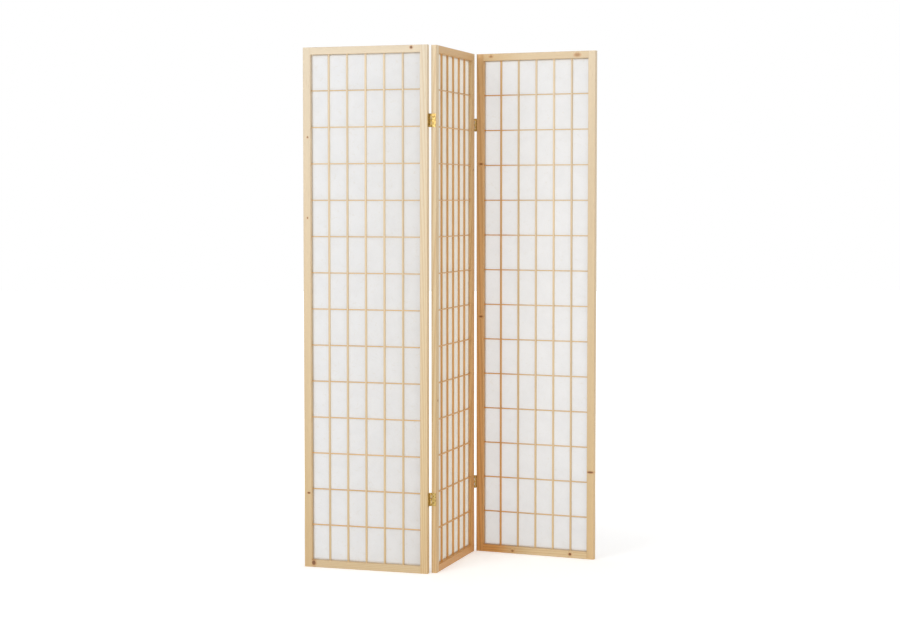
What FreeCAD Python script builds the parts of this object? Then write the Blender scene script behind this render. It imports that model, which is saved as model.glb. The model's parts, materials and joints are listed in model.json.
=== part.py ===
import FreeCAD, Part
import math
import os

# Shoji folding screen: three pine panels with a paper-backed lattice, hung on four butt hinges.
# Millimetres, +Z up, seen from the front along +Y. It stands on Z = 0 in an open zigzag.

# --- one panel -----------------------------------------------------------------------------
PANEL_WIDTH = 440.0
PANEL_HEIGHT = 1750.0
FRAME_THICKNESS = 18.0
STILE_WIDTH = 26.0
RAIL_HEIGHT = 24.5
ARRIS_RADIUS = 0.8

# --- lattice: slim bars halved into each other, dropped into the frame from behind --------
COLUMNS = 6
ROWS = 14
UPRIGHT_WIDTH = 5.5
CROSS_BAR_HEIGHT = 3.5
LATTICE_RECESS = 7.5
LATTICE_DEPTH = 6.0
TENON_LENGTH = 5.0

# --- paper and the beads that hold it in a rebate behind the lattice ----------------------
REBATE_WIDTH = 6.0
PAPER_THICKNESS = 0.4
PAPER_MARGIN = 0.5
BEAD_WIDTH = 9.0
BEAD_BACK_RECESS = 0.5
BEAD_ROUNDING = 2.0
BRAD_RADIUS = 0.6
BRAD_HEAD_RADIUS = 1.1
BRAD_HEAD_THICKNESS = 0.5
BRAD_LENGTH = 13.0
BRADS_PER_SIDE_BEAD = 6
BRADS_PER_CROSS_BEAD = 2

# --- dowels in the corners of the frame ----------------------------------------------------
DOWEL_RADIUS = 3.0
DOWEL_GLUE_FILM = 0.05
DOWEL_LENGTH = 36.0
DOWEL_CHAMFER = 0.8
DOWEL_FROM_EDGE = (7.0, 15.0)

# --- butt hinges, screwed to the edges of the stiles ---------------------------------------
HINGE_HEIGHT = 44.0
HINGE_FROM_END = 247.0
KNUCKLES = 5
KNUCKLE_GAP = 0.2
PIN_RADIUS = 1.25
RUNNING_CLEARANCE = 0.05
PIN_HEAD_RADIUS = 2.2
PIN_HEAD_HEIGHT = 1.0
PIN_CROWN_ROUNDING = 0.8
LEAF_THICKNESS = 1.45
LEAF_ON_EDGE = 15.5
LEAF_CORNER_RADIUS = 1.5
PIN_BEYOND_FACE = 3.0
KNUCKLE_CLEARANCE = 0.3
SCREW_SPACING = 22.0
SCREW_LENGTH = 14.0
SCREW_SHANK_RADIUS = 1.25
SCREW_HEAD_RADIUS = 2.5
SCREW_HEAD_DEPTH = 1.25
SCREW_POINT_LENGTH = 3.0
SCREW_POINT_RADIUS = 0.3
SCREW_FIT = 0.03
DRIVE_SLOT_WIDTH = 0.7
DRIVE_SLOT_LENGTH = 2.8
DRIVE_SLOT_DEPTH = 0.7

# --- how the screen stands: turn of each panel about Z, from the X axis --------------------
LEFT_TURN = -18.7
MIDDLE_TURN = 72.3
RIGHT_TURN = -24.3

# --- sizes that follow from those above ----------------------------------------------------
OPENING_WIDTH = PANEL_WIDTH - 2 * STILE_WIDTH
OPENING_HEIGHT = PANEL_HEIGHT - 2 * RAIL_HEIGHT
LATTICE_BACK = LATTICE_RECESS + LATTICE_DEPTH
LATTICE_MIDDLE = LATTICE_RECESS + LATTICE_DEPTH / 2
PAPER_BACK = LATTICE_BACK + PAPER_THICKNESS
BEAD_BACK = FRAME_THICKNESS - BEAD_BACK_RECESS
REBATE_LEFT = STILE_WIDTH - REBATE_WIDTH
REBATE_RIGHT = PANEL_WIDTH - REBATE_LEFT
REBATE_BOTTOM = RAIL_HEIGHT - REBATE_WIDTH
REBATE_TOP = PANEL_HEIGHT - REBATE_BOTTOM
DOWEL_HOLE_RADIUS = DOWEL_RADIUS + DOWEL_GLUE_FILM
KNUCKLE_RADIUS = PIN_RADIUS + RUNNING_CLEARANCE + LEAF_THICKNESS
EDGE_GAP = 2 * KNUCKLE_RADIUS
LEAF_REACH = PIN_BEYOND_FACE + LEAF_ON_EDGE
SCREW_FROM_PIN = PIN_BEYOND_FACE + LEAF_ON_EDGE / 2

X_AXIS = FreeCAD.Vector(1, 0, 0)
Y_AXIS = FreeCAD.Vector(0, 1, 0)
Z_AXIS = FreeCAD.Vector(0, 0, 1)


# --- small helpers ---------------------------------------------------------------------------
PARALLEL = 0.99


def point(x, y, z):
    return FreeCAD.Vector(x, y, z)


def block(x, y, z):
    """Box between pairs of limits, such as x = (low, high)."""
    corner = point(x[0], y[0], z[0])
    return Part.makeBox(x[1] - x[0], y[1] - y[0], z[1] - z[0], corner)


def rod(radius, length, start, direction):
    return Part.makeCylinder(radius, length, start, direction)


def prism(points, sweep):
    """Closed outline of straight edges, swept along a vector."""
    outline = Part.makePolygon(points + [points[0]])
    return Part.Face(outline).extrude(sweep)


def turned(profile):
    """Solid of revolution about Z from (radius, height) points."""
    points = [point(radius, 0, height) for radius, height in profile]
    outline = Part.makePolygon(points + [points[0]])
    return Part.Face(outline).revolve(point(0, 0, 0), Z_AXIS, 360)


def edges_along(shape, direction):
    """Straight edges of a box that run along a direction."""
    found = []
    for edge in shape.Edges:
        run = edge.Vertexes[-1].Point - edge.Vertexes[0].Point
        if run.Length > 0 and abs(run.normalize().dot(direction)) > PARALLEL:
            found.append(edge)
    return found


def cut_all(shape, tools):
    return shape.cut(Part.makeCompound(tools))


def spread(first, last, count):
    """Evenly spaced places from first to last, both included."""
    step = (last - first) / (count - 1)
    return [first + step * n for n in range(count)]


# --- where the lattice bars lie ----------------------------------------------------------------
def bar_centres(start, opening, panes, bar):
    """Centres of the bars that split an opening into equal clear panes."""
    pane = (opening - (panes - 1) * bar) / panes
    return [start + n * (pane + bar) - bar / 2 for n in range(1, panes)]


def upright_centres():
    return bar_centres(STILE_WIDTH, OPENING_WIDTH, COLUMNS, UPRIGHT_WIDTH)


def cross_bar_centres():
    return bar_centres(RAIL_HEIGHT, OPENING_HEIGHT, ROWS, CROSS_BAR_HEIGHT)


# --- brads: straight pins through bead and paper into the frame -------------------------------
def brad_places():
    """(x, z) of every brad, over the rebate's shoulder and level with the middle of a pane."""
    inset = REBATE_WIDTH / 2
    pitch = (OPENING_HEIGHT + CROSS_BAR_HEIGHT) / ROWS
    left_x = REBATE_LEFT + inset
    places = []
    for pane in spread(0, ROWS - 1, BRADS_PER_SIDE_BEAD):
        z = RAIL_HEIGHT + (round(pane) + 0.5) * pitch - CROSS_BAR_HEIGHT / 2
        places.append((left_x, z))
        places.append((PANEL_WIDTH - left_x, z))
    near = STILE_WIDTH + OPENING_WIDTH / 4
    for x in spread(near, PANEL_WIDTH - near, BRADS_PER_CROSS_BEAD):
        places.append((x, REBATE_BOTTOM + inset))
        places.append((x, REBATE_TOP - inset))
    return places


def brad_profile(fit):
    tip = BEAD_BACK - BRAD_LENGTH
    neck = BEAD_BACK - BRAD_HEAD_THICKNESS
    return [
        (0, tip),
        (BRAD_RADIUS + fit, tip),
        (BRAD_RADIUS + fit, neck),
        (BRAD_HEAD_RADIUS + fit, neck),
        (BRAD_HEAD_RADIUS + fit, BEAD_BACK),
        (0, BEAD_BACK),
    ]


def brad(place, fit=0.0):
    """Turned about Z, then laid along Y with its head at the back of the bead."""
    x, z = place
    pin = turned(brad_profile(fit))
    pin.rotate(point(0, 0, 0), X_AXIS, -90)
    pin.translate(point(x, 0, z))
    return pin


def brad_holes():
    return [brad(place, SCREW_FIT) for place in brad_places()]


# --- dowels ------------------------------------------------------------------------------------
def dowel_places():
    """(x, z) of each dowel's middle, on the line where a rail meets a stile."""
    heights = list(DOWEL_FROM_EDGE) + [PANEL_HEIGHT - edge for edge in DOWEL_FROM_EDGE]
    joints = (STILE_WIDTH, PANEL_WIDTH - STILE_WIDTH)
    return [(x, z) for x in joints for z in heights]


def dowel(place):
    x, z = place
    half = DOWEL_LENGTH / 2
    inner = DOWEL_RADIUS - DOWEL_CHAMFER
    profile = [
        (0, -half),
        (inner, -half),
        (DOWEL_RADIUS, DOWEL_CHAMFER - half),
        (DOWEL_RADIUS, half - DOWEL_CHAMFER),
        (inner, half),
        (0, half),
    ]
    peg = turned(profile)
    peg.rotate(point(0, 0, 0), Y_AXIS, 90)
    peg.translate(point(x, FRAME_THICKNESS / 2, z))
    return peg


def dowel_holes():
    holes = []
    for x, z in dowel_places():
        start = point(x - DOWEL_LENGTH / 2, FRAME_THICKNESS / 2, z)
        holes.append(rod(DOWEL_HOLE_RADIUS, DOWEL_LENGTH, start, X_AXIS))
    return holes


# --- frame members -----------------------------------------------------------------------------
def rebate():
    """Recess behind the lattice that takes the paper and the beads."""
    depth = (LATTICE_BACK, FRAME_THICKNESS)
    return block((REBATE_LEFT, REBATE_RIGHT), depth, (REBATE_BOTTOM, REBATE_TOP))


def housings():
    """Sockets for the ends of the bars, open to the rebate."""
    depth = (LATTICE_RECESS, LATTICE_BACK)
    across = (STILE_WIDTH - TENON_LENGTH, PANEL_WIDTH - STILE_WIDTH + TENON_LENGTH)
    along = (RAIL_HEIGHT - TENON_LENGTH, PANEL_HEIGHT - RAIL_HEIGHT + TENON_LENGTH)
    slots = []
    for z in cross_bar_centres():
        half = CROSS_BAR_HEIGHT / 2
        slots.append(block(across, depth, (z - half, z + half)))
    for x in upright_centres():
        half = UPRIGHT_WIDTH / 2
        slots.append(block((x - half, x + half), depth, along))
    return slots


def frame_member(blank, grain, screw_holes):
    """Blank with its long edges eased, then worked for all that it joins."""
    eased = blank.makeFillet(ARRIS_RADIUS, edges_along(blank, grain))
    tools = [rebate()] + housings() + dowel_holes() + brad_holes() + screw_holes
    return cut_all(eased, tools)


def stile(left, screw_holes):
    across = (left, left + STILE_WIDTH)
    blank = block(across, (0, FRAME_THICKNESS), (0, PANEL_HEIGHT))
    return frame_member(blank, Z_AXIS, screw_holes)


def rail(bottom):
    across = (STILE_WIDTH, PANEL_WIDTH - STILE_WIDTH)
    blank = block(across, (0, FRAME_THICKNESS), (bottom, bottom + RAIL_HEIGHT))
    return frame_member(blank, X_AXIS, [])


# --- lattice bars --------------------------------------------------------------------------------
def notched_outline(start, end, notches, width, whole_side, notched_side):
    """(along, depth) outline of a bar with a row of half-depth notches on one side."""
    outline = [(start, whole_side), (end, whole_side), (end, notched_side)]
    for centre in reversed(notches):
        outline.append((centre + width / 2, notched_side))
        outline.append((centre + width / 2, LATTICE_MIDDLE))
        outline.append((centre - width / 2, LATTICE_MIDDLE))
        outline.append((centre - width / 2, notched_side))
    outline.append((start, notched_side))
    return outline


def upright(x):
    """Upright bar, whole in front and notched behind."""
    start = RAIL_HEIGHT - TENON_LENGTH
    end = PANEL_HEIGHT - start
    outline = notched_outline(
        start, end, cross_bar_centres(), CROSS_BAR_HEIGHT, LATTICE_RECESS, LATTICE_BACK
    )
    left = x - UPRIGHT_WIDTH / 2
    points = [point(left, depth, along) for along, depth in outline]
    return prism(points, X_AXIS * UPRIGHT_WIDTH)


def cross_bar(z):
    """Cross bar, whole behind and notched in front."""
    start = STILE_WIDTH - TENON_LENGTH
    end = PANEL_WIDTH - start
    outline = notched_outline(
        start, end, upright_centres(), UPRIGHT_WIDTH, LATTICE_BACK, LATTICE_RECESS
    )
    bottom = z - CROSS_BAR_HEIGHT / 2
    points = [point(along, depth, bottom) for along, depth in outline]
    return prism(points, Z_AXIS * CROSS_BAR_HEIGHT)


# --- paper and beads -----------------------------------------------------------------------------
def paper():
    across = (REBATE_LEFT + PAPER_MARGIN, REBATE_RIGHT - PAPER_MARGIN)
    along = (REBATE_BOTTOM + PAPER_MARGIN, REBATE_TOP - PAPER_MARGIN)
    sheet = block(across, (LATTICE_BACK, PAPER_BACK), along)
    return cut_all(sheet, brad_holes())


def ring_corners(inset):
    """Corners of the rebate, drawn in by an inset: bottom left, then anticlockwise."""
    left = REBATE_LEFT + inset
    right = REBATE_RIGHT - inset
    bottom = REBATE_BOTTOM + inset
    top = REBATE_TOP - inset
    return [(left, bottom), (right, bottom), (right, top), (left, top)]


def bead(side):
    """One mitred bead: side 0 is the bottom, then right, top and left."""
    outer = ring_corners(0.0)
    inner = ring_corners(BEAD_WIDTH)
    following = (side + 1) % 4
    corners = [outer[side], outer[following], inner[following], inner[side]]
    points = [point(x, PAPER_BACK, z) for x, z in corners]
    strip = prism(points, Y_AXIS * (BEAD_BACK - PAPER_BACK))
    first = point(inner[side][0], BEAD_BACK, inner[side][1])
    second = point(inner[following][0], BEAD_BACK, inner[following][1])
    middle = (first + second) / 2
    inner_edge = min(strip.Edges, key=lambda edge: (edge.CenterOfMass - middle).Length)
    rounded = strip.makeFillet(BEAD_ROUNDING, [inner_edge])
    return cut_all(rounded, brad_holes())


# --- hinges, made about their own pin: axis on Z, leaf behind it along -Y ---------------------
def knuckle_bands(own):
    """(bottom, top) of the knuckles of one leaf: every second one, from 0 or from 1."""
    pitch = HINGE_HEIGHT / KNUCKLES
    bands = []
    for n in range(own, KNUCKLES, 2):
        bottom = -HINGE_HEIGHT / 2 + n * pitch
        bands.append((bottom + KNUCKLE_GAP / 2, bottom + pitch - KNUCKLE_GAP / 2))
    return bands


def leaf_plate():
    """Flat part of a leaf, with the two corners away from the pin rounded."""
    outside = -KNUCKLE_RADIUS
    across = (outside, outside + LEAF_THICKNESS)
    top = HINGE_HEIGHT / 2 - KNUCKLE_GAP / 2
    edge_near_pin = -KNUCKLE_RADIUS - KNUCKLE_CLEARANCE
    plate = block(across, (-LEAF_REACH, edge_near_pin), (-top, top))
    corners = []
    for edge in edges_along(plate, X_AXIS):
        if edge.CenterOfMass.y < -LEAF_REACH / 2:
            corners.append(edge)
    return plate.makeFillet(LEAF_CORNER_RADIUS, corners)


def screw_heights():
    return (-SCREW_SPACING / 2, SCREW_SPACING / 2)


def screw(z, fit=0.0):
    """Countersunk screw in a leaf, its head flush with the side that faces the other leaf."""
    face = LEAF_THICKNESS
    neck = face - SCREW_HEAD_DEPTH
    point_start = face - SCREW_LENGTH + SCREW_POINT_LENGTH
    profile = [
        (0, face - SCREW_LENGTH),
        (SCREW_POINT_RADIUS + fit, face - SCREW_LENGTH),
        (SCREW_SHANK_RADIUS + fit, point_start),
        (SCREW_SHANK_RADIUS + fit, neck),
        (SCREW_HEAD_RADIUS + fit, face),
        (0, face),
    ]
    body = turned(profile)
    if fit == 0.0:
        body = cut_all(body, drive_slots(face))
    body.rotate(point(0, 0, 0), Y_AXIS, 90)
    body.translate(point(-KNUCKLE_RADIUS, -SCREW_FROM_PIN, z))
    return body


def drive_slots(face):
    """Cross-shaped recess in a screw's head."""
    half = DRIVE_SLOT_WIDTH / 2
    reach = DRIVE_SLOT_LENGTH / 2
    depth = (face - DRIVE_SLOT_DEPTH, face)
    one = block((-reach, reach), (-half, half), depth)
    other = block((-half, half), (-reach, reach), depth)
    return [one, other]


def leaf(own):
    """Leaf with three knuckles (own = 0) or two (own = 1)."""
    plate = leaf_plate()
    outside = -KNUCKLE_RADIUS
    across = (outside, outside + LEAF_THICKNESS)
    near = -KNUCKLE_RADIUS - KNUCKLE_CLEARANCE
    for bottom, top in knuckle_bands(own):
        tab = block(across, (near, 0), (bottom, top))
        barrel = rod(KNUCKLE_RADIUS, top - bottom, point(0, 0, bottom), Z_AXIS)
        plate = plate.fuse([tab, barrel])
    bore_start = point(0, 0, -HINGE_HEIGHT)
    bore = rod(PIN_RADIUS + RUNNING_CLEARANCE, 2 * HINGE_HEIGHT, bore_start, Z_AXIS)
    holes = [screw(z, SCREW_FIT) for z in screw_heights()]
    return cut_all(plate, [bore] + holes).removeSplitter()


def hinge_pin():
    """Pin with a domed head at each end, resting on the outer knuckles."""
    seat = HINGE_HEIGHT / 2 - KNUCKLE_GAP / 2
    pin = rod(PIN_RADIUS, 2 * seat, point(0, 0, -seat), Z_AXIS)
    for side in (-1, 1):
        head = rod(PIN_HEAD_RADIUS, PIN_HEAD_HEIGHT, point(0, 0, side * seat), Z_AXIS * side)
        crown = [edge for edge in head.Edges if abs(edge.CenterOfMass.z) > seat + PIN_HEAD_HEIGHT / 2]
        rim = [edge for edge in crown if edge.Closed]
        pin = pin.fuse(head.makeFillet(PIN_CROWN_ROUNDING, rim))
    return pin.removeSplitter()


# --- where each leaf goes on its panel -----------------------------------------------------------
# A leaf made about the pin fits a right edge with the pin behind. Half turns make the other three.
def leaf_placement(edge, side, height):
    x = -KNUCKLE_RADIUS if edge == "left" else PANEL_WIDTH + KNUCKLE_RADIUS
    y = -PIN_BEYOND_FACE if side == "front" else FRAME_THICKNESS + PIN_BEYOND_FACE
    turns = {
        ("right", "back"): FreeCAD.Rotation(Z_AXIS, 0),
        ("left", "back"): FreeCAD.Rotation(Y_AXIS, 180),
        ("right", "front"): FreeCAD.Rotation(X_AXIS, 180),
        ("left", "front"): FreeCAD.Rotation(Z_AXIS, 180),
    }
    return FreeCAD.Placement(point(x, y, height), turns[(edge, side)])


def placed(shape, placement):
    copy = shape.copy()
    copy.Placement = placement.multiply(copy.Placement)
    return copy


HINGE_HEIGHTS = {"upper": PANEL_HEIGHT - HINGE_FROM_END, "lower": HINGE_FROM_END}

# joint: (side of the panels that the pin is on, leaf's panel and edge for each panel)
JOINTS = {
    "left": ("back", "left", "middle"),
    "right": ("front", "middle", "right"),
}


def hinge_edges(panel):
    """(edge, side) of every hinge line on one panel."""
    edges = []
    for side, left_of_joint, right_of_joint in JOINTS.values():
        if panel == left_of_joint:
            edges.append(("right", side))
        if panel == right_of_joint:
            edges.append(("left", side))
    return edges


def screw_holes(panel, edge):
    holes = []
    for hinge_edge, side in hinge_edges(panel):
        if hinge_edge != edge:
            continue
        for height in HINGE_HEIGHTS.values():
            placement = leaf_placement(edge, side, height)
            holes += [placed(screw(z, SCREW_FIT), placement) for z in screw_heights()]
    return holes


# --- how the panels stand ------------------------------------------------------------------------
def turned_by(angle):
    return FreeCAD.Rotation(Z_AXIS, angle)


def pin_on_panel(joint, edge):
    side = JOINTS[joint][0]
    return leaf_placement(edge, side, 0).Base


def panel_placements():
    """The middle panel first, then the others hung on its pins, then all moved to the origin."""
    places = {"middle": FreeCAD.Placement(point(0, 0, 0), turned_by(MIDDLE_TURN))}
    hung = (("left", LEFT_TURN, "left", "right"), ("right", RIGHT_TURN, "right", "left"))
    for panel, turn, middle_edge, own_edge in hung:
        pin = places["middle"].multVec(pin_on_panel(panel, middle_edge))
        arm = turned_by(turn).multVec(pin_on_panel(panel, own_edge))
        places[panel] = FreeCAD.Placement(pin - arm, turned_by(turn))
    centre = footprint_centre(places)
    for place in places.values():
        place.Base = place.Base - centre
    return places


def footprint_centre(places):
    """Middle of the box round the corners of the three panels, on the floor."""
    corners = []
    for place in places.values():
        for x in (0, PANEL_WIDTH):
            for y in (0, FRAME_THICKNESS):
                corners.append(place.multVec(point(x, y, 0)))
    across = [corner.x for corner in corners]
    deep = [corner.y for corner in corners]
    return point((min(across) + max(across)) / 2, (min(deep) + max(deep)) / 2, 0)


# --- all the nodes ---------------------------------------------------------------------------------
def panel_pieces(panel):
    """Every piece of one panel, in the panel's own place: front on Y = 0, left edge on X = 0."""
    return {
        "left_stile": stile(0, screw_holes(panel, "left")),
        "right_stile": stile(PANEL_WIDTH - STILE_WIDTH, screw_holes(panel, "right")),
        "bottom_rail": rail(0),
        "top_rail": rail(PANEL_HEIGHT - RAIL_HEIGHT),
        "lattice_uprights": Part.makeCompound([upright(x) for x in upright_centres()]),
        "lattice_cross_bars": Part.makeCompound([cross_bar(z) for z in cross_bar_centres()]),
        "paper": paper(),
        "bottom_bead": bead(0),
        "right_bead": bead(1),
        "top_bead": bead(2),
        "left_bead": bead(3),
        "dowels": Part.makeCompound([dowel(place) for place in dowel_places()]),
        "brads": Part.makeCompound([brad(place) for place in brad_places()]),
    }


def hinge_pieces(joint, height):
    """One hinge: the three-knuckle leaf and the pin are the middle panel's."""
    side, left_of_joint, right_of_joint = JOINTS[joint]
    middle_edge = "right" if left_of_joint == "middle" else "left"
    outer_edge = "left" if middle_edge == "right" else "right"
    on_middle = leaf_placement(middle_edge, side, height)
    on_outer = leaf_placement(outer_edge, side, height)
    screws = Part.makeCompound([screw(z) for z in screw_heights()])
    return {
        "middle": {
            "middle_leaf": placed(leaf(0), on_middle),
            "pin": placed(hinge_pin(), on_middle),
            "middle_screws": placed(screws, on_middle),
        },
        joint: {
            "outer_leaf": placed(leaf(1), on_outer),
            "outer_screws": placed(screws, on_outer),
        },
    }


def all_nodes():
    places = panel_placements()
    nodes = {}
    for panel, place in places.items():
        for name, shape in panel_pieces(panel).items():
            nodes[panel + "_panel_" + name] = placed(shape, place)
    for joint in JOINTS:
        for level, height in HINGE_HEIGHTS.items():
            for panel, pieces in hinge_pieces(joint, height).items():
                for name, shape in pieces.items():
                    node = joint + "_" + level + "_hinge_" + name
                    nodes[node] = placed(shape, places[panel])
    return nodes


def main():
    os.makedirs("parts", exist_ok=True)
    for name, shape in sorted(all_nodes().items()):
        shape.exportStep("parts/" + name + ".step")
        print(name, len(shape.Solids), round(shape.Volume), shape.isValid())
    for panel, place in panel_placements().items():
        print(panel, place.Base, math.degrees(place.Rotation.Angle))


main()
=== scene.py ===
import json
import math
import random

import bpy
import numpy as np
from mathutils import Matrix, Vector


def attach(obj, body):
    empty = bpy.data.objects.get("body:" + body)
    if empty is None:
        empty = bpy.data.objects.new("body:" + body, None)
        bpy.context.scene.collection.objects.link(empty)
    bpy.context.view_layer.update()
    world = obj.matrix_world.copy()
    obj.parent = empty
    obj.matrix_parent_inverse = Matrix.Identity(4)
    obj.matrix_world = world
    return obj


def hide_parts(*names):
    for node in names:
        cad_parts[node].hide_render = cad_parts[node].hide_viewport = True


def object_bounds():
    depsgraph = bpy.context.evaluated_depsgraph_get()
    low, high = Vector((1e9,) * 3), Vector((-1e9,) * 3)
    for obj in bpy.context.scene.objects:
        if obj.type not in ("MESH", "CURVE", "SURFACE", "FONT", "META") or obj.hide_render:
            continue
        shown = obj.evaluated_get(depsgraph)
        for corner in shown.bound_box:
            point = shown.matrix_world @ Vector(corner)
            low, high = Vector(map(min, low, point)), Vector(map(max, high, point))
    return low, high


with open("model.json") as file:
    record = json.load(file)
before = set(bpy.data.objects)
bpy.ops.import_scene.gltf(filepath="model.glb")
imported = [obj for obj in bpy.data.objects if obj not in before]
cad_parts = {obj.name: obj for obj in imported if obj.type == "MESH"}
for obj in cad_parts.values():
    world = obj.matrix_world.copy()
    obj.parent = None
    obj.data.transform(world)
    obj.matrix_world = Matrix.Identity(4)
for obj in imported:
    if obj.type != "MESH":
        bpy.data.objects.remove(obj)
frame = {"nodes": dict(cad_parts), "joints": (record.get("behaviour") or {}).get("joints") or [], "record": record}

cad_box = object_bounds()
nodes = frame["nodes"]
MM = 0.001

# --- the photograph's camera -----------------------------------------------------------------
PHOTO_WIDTH = 900
PHOTO_FOCAL_PIXELS = 1969
SENSOR_WIDTH = 36.0
CAMERA_PLACE = Vector((-0.059, -6.711, 1.242))
CAMERA_AIM = Vector((-0.007, -0.230, 0.884))

# --- soft studio light -----------------------------------------------------------------------
# An even white sky, a large key high on the left, a small warm fill low on the right and a weak
# lamp behind.
SKY_STRENGTH = 0.64
KEY_PLACE = Vector((-3.8, -4.8, 3.2))
KEY_AIM = Vector((0.0, 0.0, 1.0))
KEY_SIZE = 2.4
KEY_POWER = 105.0
FILL_PLACE = Vector((2.2, -3.2, 0.6))
FILL_AIM = Vector((0.0, 0.0, 0.6))
FILL_SIZE = 1.2
FILL_POWER = 22.0
FILL_COLOUR = "FFF0D8"
BACK_PLACE = Vector((0.5, 4.5, 1.6))
BACK_AIM = Vector((0.0, 0.0, 0.9))
BACK_SIZE = 3.0
BACK_POWER = 6.0
FLOOR_SIZE = 40.0
FLOOR_COLOUR = "F2F2F2"
FLOOR_GLOW_NEAR = 0.36
FLOOR_GLOW_FAR = 0.7
FLOOR_NEAR = 0.5
FLOOR_FAR = 2.2


def linear(hex_colour):
    """sRGB hex, such as "E9D5B0", as linear red, green, blue and a full alpha."""
    parts = [int(hex_colour[n:n + 2], 16) / 255 for n in (0, 2, 4)]
    light = [c / 12.92 if c <= 0.04045 else ((c + 0.055) / 1.055) ** 2.4 for c in parts]
    return (*light, 1.0)


def add(tree, kind, settings=None, inputs=None, stops=None):
    """Adds a shader node with its settings, inputs (values or sockets) and colour stops."""
    node = tree.nodes.new("ShaderNode" + kind)
    for name, value in (settings or {}).items():
        setattr(node, name, value)
    for socket, value in (inputs or {}).items():
        if isinstance(value, bpy.types.NodeSocket):
            tree.links.new(value, node.inputs[socket])
        else:
            node.inputs[socket].default_value = value
    if stops:
        ramp = node.color_ramp.elements
        ramp[0].position, ramp[0].color = stops[0]
        ramp[1].position, ramp[1].color = stops[-1]
        for place, colour in stops[1:-1]:
            ramp.new(place).color = colour
    return node


def new_material(name):
    material = bpy.data.materials.new(name)
    material.use_nodes = True
    material.node_tree.nodes.clear()
    return material, material.node_tree


# --- the panels' own axes --------------------------------------------------------------------
# X runs across a panel, Y from its front to its back, Z up. The outer edges' mounts look along
# the outer panels, and the left fold ends with its panel in line with the middle one.
def mount_axis(name):
    mount = next(m for m in frame["record"]["mounts"] if m["name"] == name)
    return Vector(mount["axis"])


def panel_turns():
    left_edge = mount_axis("left_outer_edge")
    right_edge = mount_axis("right_outer_edge")
    left_fold = next(j for j in frame["joints"] if j["name"] == "left_fold")
    left = math.atan2(-left_edge.y, -left_edge.x)
    middle = left + math.radians(left_fold["range_deg"][1])
    right = math.atan2(right_edge.y, right_edge.x)
    return {"left": left, "middle": middle, "right": right}


TURNS = panel_turns()


def own_box(panel, piece):
    """Lowest and highest corners of one of a panel's nodes, along the panel's own axes."""
    mesh = nodes[panel + "_panel_" + piece].data
    points = np.zeros(len(mesh.vertices) * 3)
    mesh.vertices.foreach_get("co", points)
    turned = points.reshape(-1, 3) @ np.array(Matrix.Rotation(-TURNS[panel], 3, "Z")).T
    return Vector(turned.min(axis=0)), Vector(turned.max(axis=0))


def own_axes(tree, panel):
    """Places on a panel along its own axes, which turn with it."""
    place = add(tree, "TexCoord").outputs["Object"]
    return add(tree, "Mapping", None, {"Vector": place, "Rotation": (0, 0, -TURNS[panel])}).outputs[0]


# --- lattice ---------------------------------------------------------------------------------
COLUMNS = 6
ROWS = 14
UPRIGHT_WIDTH = 5.5 * MM
CROSS_BAR_HEIGHT = 3.5 * MM


def opening(panel):
    """The frame's opening: left, right, bottom and top, along the panel's own axes."""
    left = own_box(panel, "left_stile")[1].x
    right = own_box(panel, "right_stile")[0].x
    bottom = own_box(panel, "bottom_rail")[1].z
    top = own_box(panel, "top_rail")[0].z
    return left, right, bottom, top


def bar_edges(start, end, panes, bar):
    """Where each pane starts and ends between the lattice's bars."""
    pane = (end - start - (panes - 1) * bar) / panes
    return [(start + n * (pane + bar), start + n * (pane + bar) + pane) for n in range(panes)]


# --- pine ------------------------------------------------------------------------------------
# Planed and sanded pine under clear satin lacquer: straight bands of pale early wood and thin
# honey late-wood lines, paler towards the top of the screen, partly its own colour and partly a
# painted sheen of the light from above, with a few small brown knots.
# The ground and the late wood go from their palest shade to their deepest.
PINE_GROUND = ((0.0, "F0E3CC"), (0.5, "E2C99D"), (1.0, "E3A861"))
PINE_LATE = ((0.0, "E0CAA6"), (0.5, "CAA26B"), (1.0, "B37C3B"))
PINE_RESIN = "A87B49"
PINE_WORN = "C9AE8C"
PINE_ROUGHNESSES = (0.4, 0.54)
PINE_IOR = 1.5
PINE_RELIEF = 0.12 * MM
PINE_RELIEF_STRENGTH = 0.25

# The log: rings 3.4 mm apart that wander sideways, and patterns drawn out along the grain. A
# member is cut 40 to 120 mm beside the pith and 40 to 110 mm behind it, anywhere along 6 m. Early
# wood is 0 and late wood 1: across a ring it deepens slowly and ends sharply.
PITH_BESIDE = (40, 120)
PITH_BEHIND = (40, 110)
METRES_ALONG = (-3, 3)
RING_WIDTH = 3.4 * MM
RING_WANDER = 9 * MM
RING_WANDER_LENGTH = 70 * MM
RING_UNEVENNESS = 1.4
RING_GREYS = ((0.0, 0.55), (0.12, 0.0), (0.5, 0.1), (0.93, 1.0), (1.0, 0.6))
# what the wave texture draws in a metre at scale 1
WAVE_TEXTURE_RINGS = 20 / (2 * math.pi)
LATE_WOOD_SHARE = 0.6
GRAIN_STRETCH = 0.03
GRAIN_LEAN_DEGREES = 0.8
BAR_SHADES = (0.96, 1.03)
BAR_STEP_IN_LOG = 0.2

# Real wood fibres are far finer than 0.9 mm, and resin canals than 1.2 mm: both are drawn as
# coarse as they need to be to show.
MOTTLE_WIDTH = 45 * MM
MOTTLE_SHADES = (0.93, 1.04)
WOOD_FIBRE_WIDTH = 0.9 * MM
WOOD_FIBRE_SHADES = (0.95, 1.03)
RESIN_WIDTH = 1.2 * MM
RESIN_SPAN = (0.68, 0.8)
RESIN_SHARE = 0.4
ARRIS_WIDTH = 1.4 * MM
ARRIS_WEAR = 0.5
# most of a noise texture lies between these two
NOISE_LOW = 0.3
NOISE_HIGH = 0.7

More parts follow.
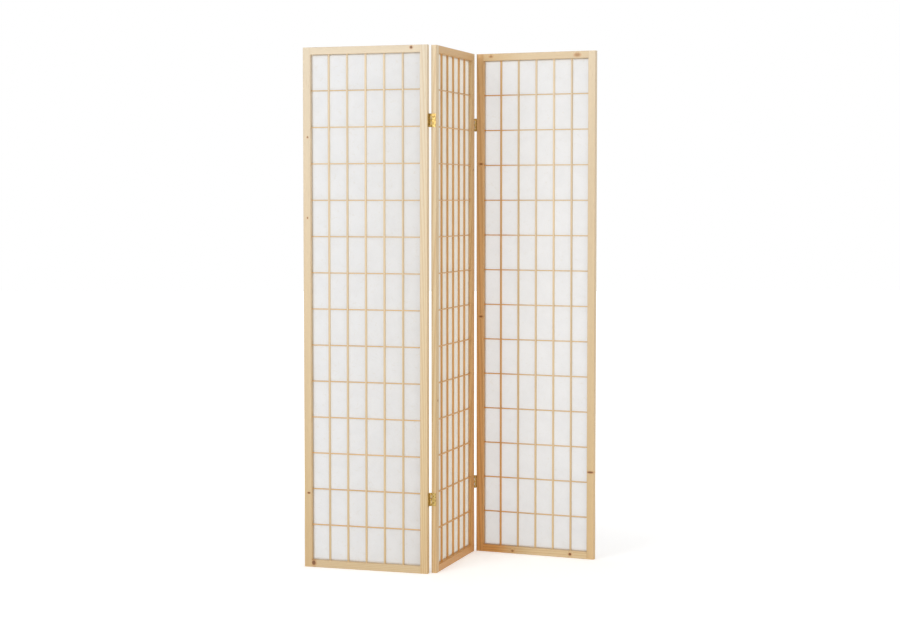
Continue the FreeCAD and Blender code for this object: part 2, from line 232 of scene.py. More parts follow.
# Each band of a knot: its colour, where it starts to fade and where it ends, in knot radii, and
# how strong it is. The late wood swings round a knot by a part of its width.
KNOT_HALO = ("C68848", 0.9, 2.4, 0.6)
KNOT_RIM = ("5E351B", 0.95, 1.2, 0.8)
KNOT_HEART = ("75441F", 0.7, 1.0, 0.8)
KNOT_SWING = 0.7
KNOT_SWING_REACH = (0.5, 3.5)

CROSSWISE = ("bottom_rail", "top_rail", "lattice_cross_bars", "bottom_bead", "top_bead", "dowels")


def place_in_log(tree, own, along, dice):
    """A member's place in its log: the pith off to one side, the grain a little out of true."""
    lay = math.pi / 2 if along == "x" else 0.0
    most = GRAIN_LEAN_DEGREES
    tilt, skew = (math.radians(dice.uniform(-most, most)) for _ in range(2))
    turn = (tilt, lay + skew, 0)
    beside, behind = dice.uniform(*PITH_BESIDE) * MM, dice.uniform(*PITH_BEHIND) * MM
    pith = (beside, behind, dice.uniform(*METRES_ALONG))
    return add(tree, "Mapping", None, {"Vector": own, "Rotation": turn, "Location": pith}).outputs[0]


def spread_bars(tree, own, log, along, bars):
    """Gives each bar of a lattice its own stretch of the log, and its own shade."""
    start, pitch = bars
    across = add(tree, "SeparateXYZ", None, {"Vector": own}).outputs["X" if along == "z" else "Z"]
    from_start = add(tree, "Math", {"operation": "SUBTRACT"}, {0: across, 1: start}).outputs[0]
    count = add(tree, "Math", {"operation": "DIVIDE"}, {0: from_start, 1: pitch}).outputs[0]
    number = add(tree, "Math", {"operation": "ROUND"}, {0: count}).outputs[0]
    chance = add(tree, "TexWhiteNoise", {"noise_dimensions": "1D"}, {"W": number}).outputs
    step = {0: chance["Color"], "Scale": BAR_STEP_IN_LOG}
    moved = add(tree, "VectorMath", {"operation": "SCALE"}, step).outputs[0]
    log = add(tree, "VectorMath", {"operation": "ADD"}, {0: log, 1: moved}).outputs[0]
    shade = {"Value": chance["Value"], "To Min": BAR_SHADES[0], "To Max": BAR_SHADES[1]}
    return log, add(tree, "MapRange", None, shade).outputs[0]


def knot_reaches(tree, own, corner, knots):
    """How far each place is from each knot, where 1 is the knot's rim."""
    reaches = []
    for x, z, width, height, _ in knots:
        centre = (corner.x + x * MM, 0, z * MM)
        sizes = (2 / (width * MM), 0, 2 / (height * MM))
        away = add(tree, "VectorMath", {"operation": "SUBTRACT"}, {0: own, 1: centre}).outputs[0]
        scaled = add(tree, "VectorMath", {"operation": "MULTIPLY"}, {0: away, 1: sizes}).outputs[0]
        reach = add(tree, "VectorMath", {"operation": "LENGTH"}, {0: scaled}).outputs["Value"]
        reaches.append(reach)
    return reaches


def late_wood(tree, streak, reaches, knots):
    """0 between the late-wood lines and 1 on them: rings that wander and swing round knots."""
    wander = {"Vector": streak, "Scale": 1 / RING_WANDER_LENGTH, "Detail": 2.0}
    drift = add(tree, "TexNoise", None, wander).outputs["Color"]
    off_centre = {0: drift, 1: (0.5, 0.5, 0.5)}
    centred = add(tree, "VectorMath", {"operation": "SUBTRACT"}, off_centre).outputs[0]
    sideways = {0: centred, "Scale": RING_WANDER}
    shift = add(tree, "VectorMath", {"operation": "SCALE"}, sideways).outputs[0]
    bent = add(tree, "VectorMath", {"operation": "ADD"}, {0: streak, 1: shift}).outputs[0]
    for reach, (_, _, width, _, _) in zip(reaches, knots):
        swing = {"Value": reach, "From Min": KNOT_SWING_REACH[0], "From Max": KNOT_SWING_REACH[1]}
        swing.update({"To Min": KNOT_SWING * width * MM, "To Max": 0.0})
        push = add(tree, "MapRange", {"interpolation_type": "SMOOTHSTEP"}, swing).outputs[0]
        bent = add(tree, "VectorMath", {"operation": "ADD"}, {0: bent, 1: push}).outputs[0]
    profile = {"wave_type": "RINGS", "rings_direction": "Z", "wave_profile": "SAW"}
    size = {"Scale": 1 / (RING_WIDTH * WAVE_TEXTURE_RINGS), "Distortion": RING_UNEVENNESS}
    unevenness = {"Detail": 2.0, "Detail Scale": 0.35, "Detail Roughness": 0.5}
    rings = add(tree, "TexWave", profile, {"Vector": bent, **size, **unevenness}).outputs["Fac"]
    stops = [(place, (grey, grey, grey, 1)) for place, grey in RING_GREYS]
    return add(tree, "ValToRGB", None, {"Fac": rings}, stops).outputs["Color"]


def honey_depth_and_light(tree, own, panel, tone_and_light, painted_fold_shade):
    """How deep the honey colour is: paler by height, partly as painted sheen, and deeper towards
    the panel's left edge as painted shade of the fold.
    """
    place = add(tree, "SeparateXYZ", None, {"Vector": own}).outputs
    # painted sheen: the paler tops stand partly for the light from above
    fade = {"Value": place["Z"], "From Max": cad_box[1].z, "To Min": tone_and_light[0], "To Max": tone_and_light[1]}
    height_and_sheen = add(tree, "MapRange", None, fade).outputs[0]
    # painted shade: deeper towards the left edge, where the middle panel shades the right one
    edge = own_box(panel, "left_stile")[0].x
    reach = {"Value": place["X"], "From Min": edge, "From Max": edge + FOLD_SHADE_REACH}
    reach.update({"To Min": painted_fold_shade, "To Max": 0.0})
    fold_shade = add(tree, "MapRange", {"interpolation_type": "SMOOTHSTEP"}, reach).outputs[0]
    return add(tree, "Math", {"operation": "ADD"}, {0: height_and_sheen, 1: fold_shade}).outputs[0]


def pine_colour(tree, depth_and_light, late, streak, fibres, bar_shade):
    """Early and late wood, then mottle, fibres and resin streaks."""
    woods = []
    for shades in (PINE_GROUND, PINE_LATE):
        stops = [(place, linear(shade)) for place, shade in shades]
        woods.append(add(tree, "ValToRGB", None, {"Fac": depth_and_light}, stops).outputs["Color"])
    late_part = add(tree, "Math", {"operation": "MULTIPLY"}, {0: late, 1: LATE_WOOD_SHARE}).outputs[0]
    lined = {"Fac": late_part, "Color1": woods[0], "Color2": woods[1]}
    colour = add(tree, "MixRGB", None, lined).outputs[0]

    mottle_size = {"Vector": streak, "Scale": 1 / MOTTLE_WIDTH, "Detail": 3.0}
    mottle = add(tree, "TexNoise", None, mottle_size).outputs["Fac"]
    for pattern, (dark, light) in ((mottle, MOTTLE_SHADES), (fibres, WOOD_FIBRE_SHADES)):
        span = {"Value": pattern, "From Min": NOISE_LOW, "From Max": NOISE_HIGH}
        span.update({"To Min": dark, "To Max": light})
        shade = add(tree, "MapRange", None, span).outputs[0]
        colour = add(tree, "VectorMath", {"operation": "SCALE"}, {0: colour, "Scale": shade}).outputs[0]
    if bar_shade:
        shaded = {0: colour, "Scale": bar_shade}
        colour = add(tree, "VectorMath", {"operation": "SCALE"}, shaded).outputs[0]

    canal_size = {"Vector": streak, "Scale": 1 / RESIN_WIDTH, "Detail": 1.0}
    canals = add(tree, "TexNoise", None, canal_size).outputs["Fac"]
    resin = {"Value": canals, "From Min": RESIN_SPAN[0], "From Max": RESIN_SPAN[1]}
    resin.update({"To Max": RESIN_SHARE})
    resin_part = add(tree, "MapRange", None, resin).outputs[0]
    streaked = {"Fac": resin_part, "Color1": colour, "Color2": linear(PINE_RESIN)}
    return add(tree, "MixRGB", None, streaked).outputs[0]


def knots_on(tree, colour, reaches, knots):
    """Paints each knot: a warm halo, and a rim and a heart that are as strong as it is dark."""
    for reach, (_, _, _, _, darkness) in zip(reaches, knots):
        for band, strength in ((KNOT_HALO, 1.0), (KNOT_RIM, darkness), (KNOT_HEART, darkness)):
            shade, start, end, most = band
            edge = {"Value": reach, "From Min": start, "From Max": end}
            edge.update({"To Min": most * strength, "To Max": 0.0})
            part = add(tree, "MapRange", {"interpolation_type": "SMOOTHSTEP"}, edge).outputs[0]
            painted = {"Fac": part, "Color1": colour, "Color2": linear(shade)}
            colour = add(tree, "MixRGB", None, painted).outputs[0]
    return colour


def arris_wear(tree, own, low, high, along):
    """0 on the faces, rising to 1 on the long rounded arrises."""
    middle = (low + high) / 2
    core = (high - low) / 2 - Vector((ARRIS_WIDTH, ARRIS_WIDTH, ARRIS_WIDTH))
    away = add(tree, "VectorMath", {"operation": "SUBTRACT"}, {0: own, 1: middle}).outputs[0]
    out = add(tree, "VectorMath", {"operation": "ABSOLUTE"}, {0: away}).outputs[0]
    past = add(tree, "VectorMath", {"operation": "SUBTRACT"}, {0: out, 1: core}).outputs[0]
    sides = add(tree, "SeparateXYZ", None, {"Vector": past}).outputs
    across = sides["Z" if along == "x" else "X"]
    both = add(tree, "Math", {"operation": "MINIMUM"}, {0: across, 1: sides["Y"]}).outputs[0]
    return add(tree, "MapRange", None, {"Value": both, "From Max": ARRIS_WIDTH}).outputs[0]


def sanded_pine(panel, piece, tone_and_light, painted_fold_shade, knots, bars):
    """Pine of one member.

    tone_and_light is how deep its honey colour is at the floor and at the top, from 0, pale, to 1,
    deep: partly its own wood, partly painted sheen at the top and painted shade in the corner
    between the middle and right panels.
    painted_fold_shade is how much deeper it is painted at the panel's left edge, as shade of the fold.
    """
    material, tree = new_material("sanded_pine_" + panel + "_" + piece)
    low, high = own_box(panel, piece)
    own = own_axes(tree, panel)
    along = "x" if high.x - low.x > high.z - low.z or piece in CROSSWISE else "z"
    log = place_in_log(tree, own, along, random.Random(panel + piece))
    bar_shade = None
    if bars:
        log, bar_shade = spread_bars(tree, own, log, along, bars)
    stretch = {0: log, 1: (1, 1, GRAIN_STRETCH)}
    streak = add(tree, "VectorMath", {"operation": "MULTIPLY"}, stretch).outputs[0]
    reaches = knot_reaches(tree, own, low, knots)
    late = late_wood(tree, streak, reaches, knots)
    fibre_size = {"Vector": streak, "Scale": 1 / WOOD_FIBRE_WIDTH, "Detail": 3.0, "Roughness": 0.6}
    fibres = add(tree, "TexNoise", None, fibre_size).outputs["Fac"]

    depth_and_light = honey_depth_and_light(tree, own, panel, tone_and_light, painted_fold_shade)
    colour = pine_colour(tree, depth_and_light, late, streak, fibres, bar_shade)
    colour = knots_on(tree, colour, reaches, knots)
    worn_part = {0: arris_wear(tree, own, low, high, along), 1: ARRIS_WEAR}
    wear = add(tree, "Math", {"operation": "MULTIPLY"}, worn_part).outputs[0]
    worn = {"Fac": wear, "Color1": colour, "Color2": linear(PINE_WORN)}
    colour = add(tree, "MixRGB", {"blend_type": "MULTIPLY"}, worn).outputs[0]

    satin = {"Value": fibres, "From Min": NOISE_LOW, "From Max": NOISE_HIGH}
    satin.update({"To Min": PINE_ROUGHNESSES[0], "To Max": PINE_ROUGHNESSES[1]})
    gloss = add(tree, "MapRange", None, satin).outputs[0]
    heights = {0: late, 1: LATE_WOOD_SHARE, 2: fibres}
    relief = add(tree, "Math", {"operation": "MULTIPLY_ADD"}, heights).outputs[0]
    bump = {"Height": relief, "Strength": PINE_RELIEF_STRENGTH, "Distance": PINE_RELIEF}
    normal = add(tree, "Bump", None, bump).outputs[0]
    surface = {"Base Color": colour, "Roughness": gloss, "IOR": PINE_IOR, "Normal": normal}
    shader = add(tree, "BsdfPrincipled", None, surface).outputs[0]
    add(tree, "OutputMaterial", None, {"Surface": shader})
    return material


# --- fibre paper -----------------------------------------------------------------------------
# Long plant fibres felted into a matt, faintly cloudy white sheet that lets light through, so
# that the lattice shows on its back as soft shadows. The middle sheet is a little creamier.
# Real fibres are finer and lie closer together: they are drawn as coarse as they need to be to show.
# They lie in layers, each turned by so many radians.
PAPER_WHITE = {"left": "EFF2F7", "middle": "F0EDE5", "right": "EEF0F4"}
PAPER_CLOUD = "FBFBFB"
PAPER_FIBRE = "E4E2DD"
PAPER_GLOW = "FCF9F4"
PAPER_LETS_THROUGH = 0.6
PAPER_ROUGHNESS = 0.85
PAPER_RELIEF = 0.08 * MM
PAPER_RELIEF_STRENGTH = 0.18
PAPER_CLOUD_WIDTH = 55 * MM
PAPER_CLOUD_SPAN = (0.4, 0.7)
PAPER_FIBRE_SPACING = 7 * MM
PAPER_FIBRE_STRAIGHTNESS = 0.12
PAPER_FIBRE_FINENESS = 0.02
PAPER_FIBRE_PATCH = 22 * MM
PAPER_FIBRE_PATCH_SPAN = (0.5, 0.62)
PAPER_FIBRE_SHARE = 0.4
PAPER_FIBRE_LAYERS = (0.35, 1.25, 2.3, 2.9)
PAPER_SLACK = 0.45 * MM
PAPER_SLACK_SHARES = (0.3, 1.0)
PAPER_COCKLE = 0.12 * MM
PAPER_COCKLES_ACROSS = 1.5
PANE_STEPS = (8, 12)


def laid_fibres(tree, own, turn):
    """One layer of fibres, turned by turn: 0 between them and up to PAPER_FIBRE_SHARE on them."""
    layer = {"Vector": own, "Rotation": (0, turn, 0), "Location": (turn, 0, turn)}
    laid = add(tree, "Mapping", None, layer).outputs[0]
    drawn = {0: laid, 1: (1, 0, PAPER_FIBRE_STRAIGHTNESS)}
    drawn_out = add(tree, "VectorMath", {"operation": "MULTIPLY"}, drawn).outputs[0]
    lines = {"Vector": drawn_out, "Scale": 1 / PAPER_FIBRE_SPACING, "Detail": 0.0}
    field = add(tree, "TexNoise", None, lines).outputs["Fac"]
    off = add(tree, "Math", {"operation": "SUBTRACT"}, {0: field, 1: 0.5}).outputs[0]
    near = add(tree, "Math", {"operation": "ABSOLUTE"}, {0: off}).outputs[0]
    thread = {"Value": near, "From Max": PAPER_FIBRE_FINENESS, "To Min": 1.0, "To Max": 0.0}
    strand = add(tree, "MapRange", None, thread).outputs[0]
    patch = add(tree, "TexNoise", None, {"Vector": laid, "Scale": 1 / PAPER_FIBRE_PATCH}).outputs["Fac"]
    start, end = PAPER_FIBRE_PATCH_SPAN
    kept = {"Value": patch, "From Min": start, "From Max": end, "To Max": PAPER_FIBRE_SHARE}
    keep = add(tree, "MapRange", None, kept).outputs[0]
    return add(tree, "Math", {"operation": "MULTIPLY"}, {0: strand, 1: keep}).outputs[0]


def fibre_paper(panel):
    """Paper of one panel: a matt face, and light that comes through it a little warmer."""
    material, tree = new_material("fibre_paper_" + panel)
    own = own_axes(tree, panel)
    clouds = {"Vector": own, "Scale": 1 / PAPER_CLOUD_WIDTH, "Detail": 4.0, "Roughness": 0.6}
    cloud = add(tree, "TexNoise", None, clouds).outputs["Fac"]
    span = {"Value": cloud, "From Min": PAPER_CLOUD_SPAN[0], "From Max": PAPER_CLOUD_SPAN[1]}
    part = add(tree, "MapRange", None, span).outputs[0]
    white = linear(PAPER_WHITE[panel])
    clouded = {"Fac": part, "Color1": white, "Color2": linear(PAPER_CLOUD)}
    colour = add(tree, "MixRGB", {"blend_type": "MULTIPLY"}, clouded).outputs[0]
    relief = cloud
    for turn in PAPER_FIBRE_LAYERS:
        shown = laid_fibres(tree, own, turn)
        tints = {"Fac": shown, "Color1": colour, "Color2": linear(PAPER_FIBRE)}
        colour = add(tree, "MixRGB", None, tints).outputs[0]
        relief = add(tree, "Math", {"operation": "ADD"}, {0: relief, 1: shown}).outputs[0]
    bump = {"Height": relief, "Strength": PAPER_RELIEF_STRENGTH, "Distance": PAPER_RELIEF}
    normal = add(tree, "Bump", None, bump).outputs[0]
    matt = {"Base Color": colour, "Roughness": PAPER_ROUGHNESS, "Normal": normal}
    face = add(tree, "BsdfPrincipled", None, matt).outputs[0]
    warmed = {"Fac": 1.0, "Color1": colour, "Color2": linear(PAPER_GLOW)}
    glow = add(tree, "MixRGB", {"blend_type": "MULTIPLY"}, warmed).outputs[0]
    through = add(tree, "BsdfTranslucent", None, {"Color": glow, "Normal": normal}).outputs[0]
    sheet = add(tree, "MixShader", None, {"Fac": PAPER_LETS_THROUGH, 1: face, 2: through}).outputs[0]
    add(tree, "OutputMaterial", None, {"Surface": sheet})
    return material


def sheet_lines(edge_low, panes, edge_high, steps):
    """Grid lines across the sheet, with how far each one is across its pane (0 where it is held)."""
    lines = [(edge_low, 0.0)]
    for start, end in panes:
        lines += [(start + (end - start) * n / steps, n / steps) for n in range(steps + 1)]
    return lines + [(edge_high, 0.0)]


def paper_sheet(panel):
    """The paper, glued to the lattice's back and under the beads, and a little slack in each pane."""
    node = panel + "_panel_paper"
    low, high = own_box(panel, "paper")
    left, right, bottom, top = opening(panel)
    columns = sheet_lines(low.x, bar_edges(left, right, COLUMNS, UPRIGHT_WIDTH), high.x, PANE_STEPS[0])
    rows = sheet_lines(low.z, bar_edges(bottom, top, ROWS, CROSS_BAR_HEIGHT), high.z, PANE_STEPS[1])
    plane = (low.y + high.y) / 2
    dice = random.Random(panel)
    slack = {}
    turn = Matrix.Rotation(TURNS[panel], 3, "Z")
    points = []
    for j, (z, t) in enumerate(rows):
        for i, (x, s) in enumerate(columns):
            pane = (i // (PANE_STEPS[0] + 1), j // (PANE_STEPS[1] + 1))
            drawn = (dice.uniform(*PAPER_SLACK_SHARES), dice.uniform(0, 2 * math.pi))
            sag, lean = slack.setdefault(pane, drawn)
            # 1 in the middle of a pane and 0 at its bars
            free = 16 * s * (1 - s) * t * (1 - t)
            cockle = math.sin(2 * math.pi * (PAPER_COCKLES_ACROSS * s + t) + lean)
            y = plane + free * (sag * PAPER_SLACK + cockle * PAPER_COCKLE)
            points.append(turn @ Vector((x, y, z)))
    wide = len(columns)
    faces = [
        (j * wide + i, j * wide + i + 1, (j + 1) * wide + i + 1, (j + 1) * wide + i)
        for j in range(len(rows) - 1)
        for i in range(wide - 1)
    ]
    mesh = bpy.data.meshes.new(node + "_sheet")
    mesh.from_pydata(points, [], faces)
    mesh.shade_smooth()
    sheet = bpy.data.objects.new(node + "_sheet", mesh)
    bpy.context.scene.collection.objects.link(sheet)
    mesh.materials.append(fibre_paper(panel))
    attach(sheet, panel + "_panel")
    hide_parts(node)


# --- brass and steel -------------------------------------------------------------------------
# Rolled brass leaves, drawn pins and turned screws: worn bright, tarnished brown in patches and
# specked with grime, most of all on the screws. The heavy tarnish and grime on the pins and screws
# are partly painted shade of the knuckle gaps and the screws' heads. Real rolling lines are finer
# than 0.5 mm: they are drawn as coarse as they need to be to show.
BRASS_BRIGHT = "D0B470"
BRASS_TARNISH_AND_SHADE = "785624"
BRASS_GRIME_AND_SHADE = "38250F"
BRASS_GRIME_AND_SHADE_SHARE = 0.8
BRASS_ROUGHNESSES = (0.26, 0.5)
BRASS_PATCH_WIDTH = 6 * MM
BRASS_PATCH_SPAN = (0.4, 0.72)
BRASS_LEAST_TARNISH_AND_SHADE = 0.1
BRASS_WEAR_SPAN = (0.3, 0.8)
BRASS_SPECK_WIDTH = 3 * MM
BRASS_SPECK_SPAN = (0.6, 0.75)
BRASS_SPECK_SPREAD = 0.25
BRASS_LINE_WIDTH = 0.5 * MM
BRASS_LINE_STRETCH = 0.05
METAL_RELIEF = 0.05 * MM
METAL_RELIEF_STRENGTH = 0.2


def aged_and_shaded_brass(name, tarnish_and_shade, grime_and_shade):
    """Brass, where tarnish_and_shade and grime_and_shade say how much of it they cover: partly real
    tarnish and grime, partly painted shade of the knuckle gaps and the screws' heads.
    """
    material, tree = new_material(name)
    place = add(tree, "TexCoord").outputs["Object"]
    patches = {"Vector": place, "Scale": 1 / BRASS_PATCH_WIDTH, "Detail": 5.0, "Roughness": 0.65}
    patch = add(tree, "TexNoise", None, patches).outputs["Fac"]
    # painted shade, in part: heavy tarnish stands partly for the shade in the knuckle gaps
    span = {"Value": patch, "From Min": BRASS_PATCH_SPAN[0], "From Max": BRASS_PATCH_SPAN[1]}
    span.update({"To Min": BRASS_LEAST_TARNISH_AND_SHADE * tarnish_and_shade, "To Max": tarnish_and_shade})
    aged_and_shaded = add(tree, "MapRange", None, span).outputs[0]
    tints = {"Fac": aged_and_shaded, "Color1": linear(BRASS_BRIGHT), "Color2": linear(BRASS_TARNISH_AND_SHADE)}
    colour = add(tree, "MixRGB", None, tints).outputs[0]
    speck_size = {"Vector": place, "Scale": 1 / BRASS_SPECK_WIDTH, "Detail": 3.0}
    specks = add(tree, "TexNoise", None, speck_size).outputs["Fac"]
    # painted shade, in part: heavy grime stands partly for the shade in the screws' heads
    start = BRASS_SPECK_SPAN[0] - BRASS_SPECK_SPREAD * grime_and_shade
    dirt_and_shade = {"Value": specks, "From Min": start, "From Max": BRASS_SPECK_SPAN[1]}
    dirt_and_shade.update({"To Max": BRASS_GRIME_AND_SHADE_SHARE})
    dirt_and_shade_part = add(tree, "MapRange", None, dirt_and_shade).outputs[0]
    dirtied_and_shaded = {"Fac": dirt_and_shade_part, "Color1": colour, "Color2": linear(BRASS_GRIME_AND_SHADE)}
    colour = add(tree, "MixRGB", None, dirtied_and_shaded).outputs[0]

    stretch = {"Vector": place, "Scale": (1, 1, BRASS_LINE_STRETCH)}
    drawn = add(tree, "Mapping", None, stretch).outputs[0]
    line_size = {"Vector": drawn, "Scale": 1 / BRASS_LINE_WIDTH, "Detail": 2.0}
    lines = add(tree, "TexNoise", None, line_size).outputs["Fac"]
    wear = {"Value": patch, "From Min": BRASS_WEAR_SPAN[0], "From Max": BRASS_WEAR_SPAN[1]}
    wear.update({"To Min": BRASS_ROUGHNESSES[0], "To Max": BRASS_ROUGHNESSES[1]})
    dull = add(tree, "MapRange", None, wear).outputs[0]
    bump = {"Height": lines, "Strength": METAL_RELIEF_STRENGTH, "Distance": METAL_RELIEF}
    normal = add(tree, "Bump", None, bump).outputs[0]
    surface = {"Base Color": colour, "Metallic": 1.0, "Roughness": dull, "Normal": normal}
    shader = add(tree, "BsdfPrincipled", None, surface).outputs[0]
    add(tree, "OutputMaterial", None, {"Surface": shader})
    return material


# Drawn steel wire, dull grey with brown specks of rust.
STEEL_GREY = "8E8C88"
STEEL_RUST = "6B5440"
STEEL_ROUGHNESS = 0.42
STEEL_SPECK_WIDTH = 1.5 * MM
STEEL_SPECK_SPAN = (0.4, 0.75)


def drawn_steel():
    material, tree = new_material("drawn_steel")
    place = add(tree, "TexCoord").outputs["Object"]
    speck_size = {"Vector": place, "Scale": 1 / STEEL_SPECK_WIDTH, "Detail": 3.0}
    speck = add(tree, "TexNoise", None, speck_size).outputs["Fac"]
    stops = list(zip(STEEL_SPECK_SPAN, (linear(STEEL_GREY), linear(STEEL_RUST))))
    colour = add(tree, "ValToRGB", None, {"Fac": speck}, stops).outputs["Color"]
    bump = {"Height": speck, "Strength": METAL_RELIEF_STRENGTH, "Distance": METAL_RELIEF}
    normal = add(tree, "Bump", None, bump).outputs[0]
    surface = {"Base Color": colour, "Metallic": 1.0, "Roughness": STEEL_ROUGHNESS, "Normal": normal}
    shader = add(tree, "BsdfPrincipled", None, surface).outputs[0]
    add(tree, "OutputMaterial", None, {"Surface": shader})
    return material


# --- finishing the members -------------------------------------------------------------------
# How deep each member's honey colour is at the floor and at the top of the screen: the paler tops
# are partly painted sheen of the light from above.
TONES_AND_SHEEN = {
    "left_stile": (0.56, 0.06),
    "right_stile": (0.56, 0.06),
    "bottom_rail": (0.42, 0.06),
    "top_rail": (0.42, 0.08),
    "lattice_uprights": (0.5, 0.2),
    "lattice_cross_bars": (0.75, 0.5),
    "bottom_bead": (0.5, 0.1),
    "right_bead": (0.5, 0.1),
    "top_bead": (0.5, 0.1),
    "left_bead": (0.5, 0.1),
    "dowels": (0.5, 0.1),
}
# Members of the middle and right panels that differ, most of them deeper than the rest: partly their
# own wood, partly painted shade of the corner between the two panels.
DEEPER_AND_SHADED = {
    "middle_left_stile": (0.62, 0.25),
    "middle_right_stile": (0.95, 0.55),
    "middle_top_rail": (0.7, 0.7),
    "middle_bottom_rail": (0.95, 0.7),
    "middle_lattice_uprights": (1.0, 0.85),
    "middle_lattice_cross_bars": (0.9, 0.7),
    "right_left_stile": (0.95, 0.7),
    "right_right_stile": (0.56, 0.14),
    "right_top_rail": (0.4, 0.3),
    "right_bottom_rail": (0.45, 0.4),
    "right_lattice_cross_bars": (0.65, 0.45),
}
# Painted shade of the fold between the middle and right panels: how much deeper the right panel's
# wood is painted at its fold, from where it fades to its usual shade.
FOLD_SHADE_REACH = 210 * MM
PAINTED_FOLD_SHADE = {
    "right_top_rail": 0.25,
    "right_bottom_rail": 0.8,
    "right_lattice_uprights": 0.9,
    "right_lattice_cross_bars": 0.9,
}
# Knots: millimetres from the member's left edge and from the floor, width and height in
# millimetres, and darkness.
KNOTS = {
    "left_left_stile": ((16, 1451, 5, 5, 0.5), (16, 252, 9, 5, 1.0), (15, 1181, 4, 5, 0.5)),
    "left_bottom_rail": ((7, 15, 12, 15, 0.75),),
    "left_top_rail": ((358, 1742, 8, 8, 0.8),),
    "middle_left_stile": ((14, 576, 6, 7, 0.6),),
    "middle_right_stile": ((14, 1347, 6, 7, 0.6), (14, 312, 6, 7, 0.6)),
    "right_left_stile": ((17, 1367, 12, 6, 0.6), (17, 832, 12, 6, 0.6)),
    "right_right_stile": ((13, 303, 20, 6, 0.75),),
    "right_bottom_rail": ((327, 13, 9, 8, 1.0), (112, 9, 8, 6, 0.5)),
    "right_top_rail": ((28, 1740, 10, 6, 0.3), (348, 1737, 16, 9, 0.2)),
}


def dress(node, material):
    slots = nodes[node].data.materials
    slots.clear()
    slots.append(material)


def lattice_bars(panel, piece):
    """Middle of the first bar and the distance between bars, for the lattice's two nodes."""
    left, right, bottom, top = opening(panel)
    if piece == "lattice_uprights":
        panes, bar = bar_edges(left, right, COLUMNS, UPRIGHT_WIDTH), UPRIGHT_WIDTH
    elif piece == "lattice_cross_bars":
        panes, bar = bar_edges(bottom, top, ROWS, CROSS_BAR_HEIGHT), CROSS_BAR_HEIGHT
    else:
        return None
    return panes[0][1] + bar / 2, panes[1][0] - panes[0][0]


def finish_panels():
    for panel in TURNS:
        for piece, usual in TONES_AND_SHEEN.items():
            member = panel + "_" + piece
            tone_and_light = DEEPER_AND_SHADED.get(member, usual)
            painted_fold_shade = PAINTED_FOLD_SHADE.get(member, 0.0)
            knots = KNOTS.get(member, ())
            material = sanded_pine(panel, piece, tone_and_light, painted_fold_shade, knots, lattice_bars(panel, piece))
            dress(panel + "_panel_" + piece, material)
        paper_sheet(panel)


def finish_metal():
    finishes = {
        # the pin's heavy tarnish and the screws' heavy grime are partly painted shade of knuckle gaps and screw
        # heads
        "leaf": aged_and_shaded_brass("rolled_brass", tarnish_and_shade=0.75, grime_and_shade=0.3),
        "hinge_pin": aged_and_shaded_brass("drawn_brass", tarnish_and_shade=0.9, grime_and_shade=0.3),
        "screws": aged_and_shaded_brass("turned_brass", tarnish_and_shade=1.0, grime_and_shade=1.5),
        "brads": drawn_steel(),
    }
    for node in nodes:
        for ending, material in finishes.items():
            if node.endswith(ending):
                dress(node, material)


# --- stage, light and camera -----------------------------------------------------------------
def seen_directly(tree):
    """1 for what the camera sees, also in a reflection or through glass."""
    path = add(tree, "LightPath").outputs
    plain = {0: path["Is Camera Ray"], 1: path["Is Glossy Ray"]}
    seen = add(tree, "Math", {"operation": "MAXIMUM"}, plain).outputs[0]
    either = {0: seen, 1: path["Is Transmission Ray"]}
    return add(tree, "Math", {"operation": "MAXIMUM"}, either).outputs[0]


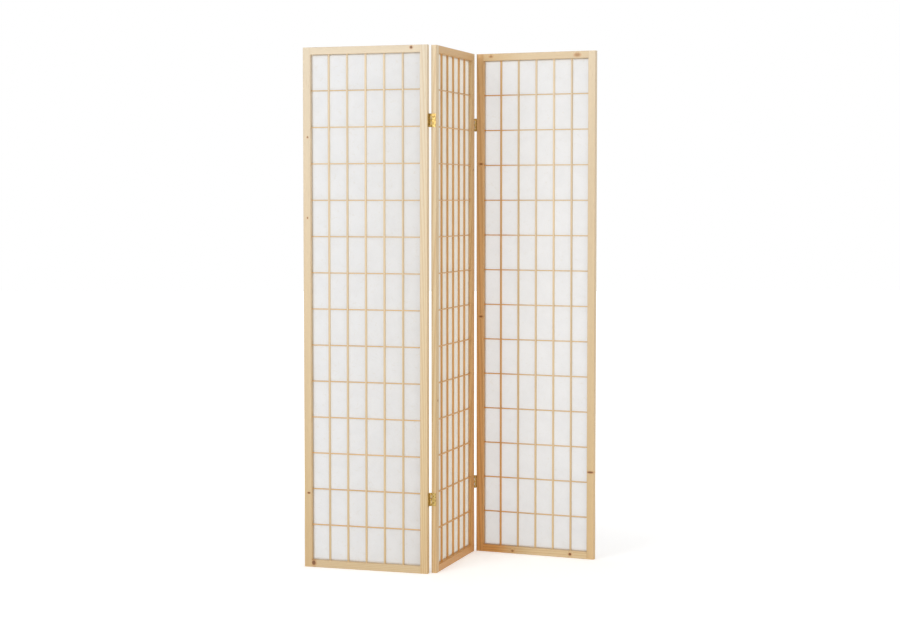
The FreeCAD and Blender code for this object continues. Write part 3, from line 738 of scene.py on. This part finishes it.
def white_floor():
    """A pale floor that reads as white out to the horizon and keeps the screen's soft shadow."""
    bpy.ops.mesh.primitive_plane_add(size=FLOOR_SIZE, location=(0, 0, 0))
    floor = bpy.context.object
    floor.name = "floor"
    material, tree = new_material("white_floor")
    matt = add(tree, "BsdfDiffuse", None, {"Color": linear(FLOOR_COLOUR)}).outputs[0]
    place = add(tree, "TexCoord").outputs["Object"]
    away = add(tree, "VectorMath", {"operation": "LENGTH"}, {0: place}).outputs["Value"]
    fade = {"Value": away, "From Min": FLOOR_NEAR, "From Max": FLOOR_FAR}
    fade.update({"To Min": FLOOR_GLOW_NEAR, "To Max": FLOOR_GLOW_FAR})
    glow = add(tree, "MapRange", {"interpolation_type": "SMOOTHSTEP"}, fade).outputs[0]
    shown = add(tree, "Math", {"operation": "MULTIPLY"}, {0: seen_directly(tree), 1: glow}).outputs[0]
    white = add(tree, "Emission", None, {"Color": (1, 1, 1, 1), "Strength": shown}).outputs[0]
    both = add(tree, "AddShader", None, {0: matt, 1: white}).outputs[0]
    add(tree, "OutputMaterial", None, {"Surface": both})
    floor.data.materials.append(material)


def white_world():
    world = bpy.data.worlds.new("studio")
    bpy.context.scene.world = world
    world.use_nodes = True
    tree = world.node_tree
    tree.nodes.clear()
    seen = {"Value": seen_directly(tree), "To Min": SKY_STRENGTH, "To Max": 1.0}
    strength = add(tree, "MapRange", None, seen).outputs[0]
    light = add(tree, "Background", None, {"Color": (1, 1, 1, 1), "Strength": strength}).outputs[0]
    add(tree, "OutputWorld", None, {"Surface": light})


def soft_lamp(name, place, aim, size, power, colour="FFFFFF"):
    lamp = bpy.data.lights.new(name, "AREA")
    lamp.color = linear(colour)[:3]
    lamp.size = size
    lamp.energy = power
    holder = bpy.data.objects.new(name, lamp)
    holder.location = place
    holder.visible_camera = False
    holder.rotation_euler = (aim - place).to_track_quat("-Z", "Y").to_euler()
    bpy.context.scene.collection.objects.link(holder)


def photo_camera():
    camera = bpy.data.cameras.new("camera")
    camera.sensor_fit = "HORIZONTAL"
    camera.sensor_width = SENSOR_WIDTH
    camera.lens = SENSOR_WIDTH * PHOTO_FOCAL_PIXELS / PHOTO_WIDTH
    holder = bpy.data.objects.new("camera", camera)
    holder.location = CAMERA_PLACE
    holder.rotation_euler = (CAMERA_AIM - CAMERA_PLACE).to_track_quat("-Z", "Y").to_euler()
    bpy.context.scene.collection.objects.link(holder)
    bpy.context.scene.camera = holder


finish_panels()
finish_metal()
white_floor()
white_world()
soft_lamp("key", KEY_PLACE, KEY_AIM, KEY_SIZE, KEY_POWER)
soft_lamp("fill", FILL_PLACE, FILL_AIM, FILL_SIZE, FILL_POWER, FILL_COLOUR)
soft_lamp("back", BACK_PLACE, BACK_AIM, BACK_SIZE, BACK_POWER)
photo_camera()
bpy.context.scene.view_settings.view_transform = "Standard"
